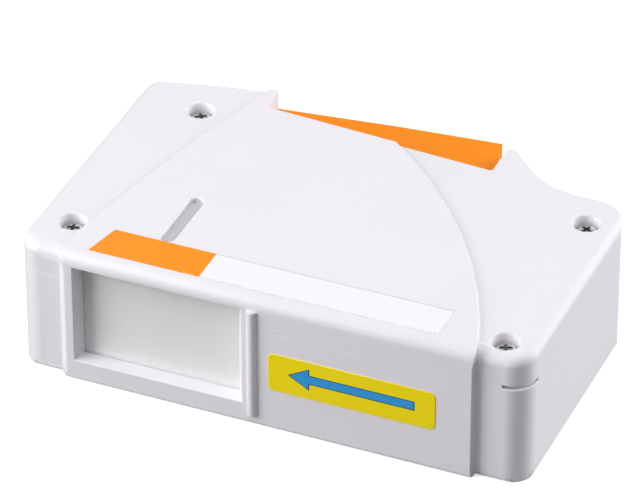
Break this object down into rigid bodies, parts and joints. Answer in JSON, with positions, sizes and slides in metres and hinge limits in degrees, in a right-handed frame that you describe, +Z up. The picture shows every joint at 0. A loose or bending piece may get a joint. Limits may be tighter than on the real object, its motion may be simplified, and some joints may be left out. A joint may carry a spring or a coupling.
{
  "type": "fibre optic cleaning cassette",
  "caption": "Reel type cleaning cassette for fibre optic connector end faces: a push lever opens a shutter over the wiping window and winds clean tape on past a pad.",
  "frame": {"origin": "middle of the base under the whole part, at the height of the face that it stands on", "axes": "+X along the front from the window to the label end, +Y from the window side to the lever side, +Z up"},
  "size_m": [0.115, 0.0799, 0.0322],
  "materials": {
    "white_shell": "moulded, satin white",
    "orange_plastic": "moulded, satin orange",
    "grey_plastic": "moulded, matt light grey",
    "dark_plastic": "moulded, matt black",
    "clear_white_plastic": "moulded, natural",
    "frosted_plastic": "moulded, frosted",
    "steel": "turned and drawn, bright",
    "nickel": "nickel plated",
    "tape": "fine woven microfibre",
    "pad_rubber": "soft, matt",
    "felt": "felt",
    "yellow_label": "printed film with a plain blue arrow",
    "orange_label": "printed film, bare",
    "white_label": "printed film, bare"
  },
  "bodies": {
    "case": {"bottom_case": "white_shell", "top_cover": "white_shell", "sight_window": "frosted_plastic", "case_screws": "nickel", "mechanism_deck": "grey_plastic", "deck_screws": "nickel", "lever_pin": "steel", "reel_clips": "steel", "brake_washer": "felt", "pad_holder": "grey_plastic", "cleaning_pad": "pad_rubber", "guide_pins": "steel", "tape_run": "tape", "direction_label": "yellow_label", "type_label": "orange_label", "title_strip": "white_label"},
    "lever": {"lever": "orange_plastic", "lever_spring": "steel"},
    "shutter": {"shutter": "grey_plastic"},
    "shutter_arm": {"shutter_arm": "dark_plastic"},
    "drive_pawl": {"drive_pawl": "dark_plastic"},
    "stop_pawl": {"stop_pawl": "dark_plastic"},
    "supply": {"supply_reel": "clear_white_plastic", "supply_roll": "tape"},
    "take_up": {"take_up_reel": "clear_white_plastic", "take_up_roll": "tape"},
    "left_guide": {"left_guide_roller": "clear_white_plastic"},
    "right_guide": {"right_guide_roller": "clear_white_plastic"}
  },
  "joints": [
    {"name": "lever_press", "type": "hinge", "parent": "case", "child": "lever", "pos_m": [-0.025, 0.0246, 0], "axis": [0, 0, 1], "range_deg": [-12, 0], "stiffness_Nm_per_rad": 0.25, "springref_deg": 11.46, "deforming": ["lever_spring"]},
    {"name": "shutter_slide", "type": "slide", "parent": "case", "child": "shutter", "axis": [1, 0, 0], "range_m": [0, 0.0382]},
    {"name": "arm_swing", "type": "hinge", "parent": "case", "child": "shutter_arm", "pos_m": [-0.003, 0.0081, 0], "axis": [0, 0, 1], "range_deg": [0, 60]},
    {"name": "take_up_spin", "type": "hinge", "parent": "case", "child": "take_up", "pos_m": [0.016, -0.0074, 0], "axis": [0, 0, 1], "range_deg": [0, 15]},
    {"name": "supply_spin", "type": "hinge", "parent": "case", "child": "supply", "pos_m": [-0.03, -0.0029, 0], "axis": [0, 0, 1], "range_deg": [0, 9]},
    {"name": "left_guide_spin", "type": "hinge", "parent": "case", "child": "left_guide", "pos_m": [-0.0434, -0.03145, 0], "axis": [0, 0, 1], "range_deg": [0, 84.38]},
    {"name": "right_guide_spin", "type": "hinge", "parent": "case", "child": "right_guide", "pos_m": [-0.0065, -0.03145, 0], "axis": [0, 0, 1], "range_deg": [0, 84.38]},
    {"name": "drive_pawl_turn", "type": "hinge", "parent": "lever", "child": "drive_pawl", "pos_m": [-0.0031, 0.0211, 0], "axis": [0, 0, 1], "range_deg": [0, 13.52]},
    {"name": "stop_pawl_lift", "type": "hinge", "parent": "case", "child": "stop_pawl", "pos_m": [0.0372, -0.0111, 0], "axis": [0, 0, 1], "range_deg": [-6.6, 0]}
  ],
  "couplings": [
    {"joint": "shutter_slide", "follows": "lever_press", "m_per_rad": -0.18239},
    {"joint": "arm_swing", "follows": "lever_press", "ratio": -5},
    {"joint": "take_up_spin", "follows": "lever_press", "ratio": -1.25},
    {"joint": "supply_spin", "follows": "lever_press", "ratio": -0.75},
    {"joint": "left_guide_spin", "follows": "lever_press", "ratio": -7.0312},
    {"joint": "right_guide_spin", "follows": "lever_press", "ratio": -7.0312},
    {"joint": "drive_pawl_turn", "follows": "lever_press", "ratio": -1.1267},
    {"joint": "stop_pawl_lift", "follows": "lever_press", "ratio": 0.55}
  ]
}
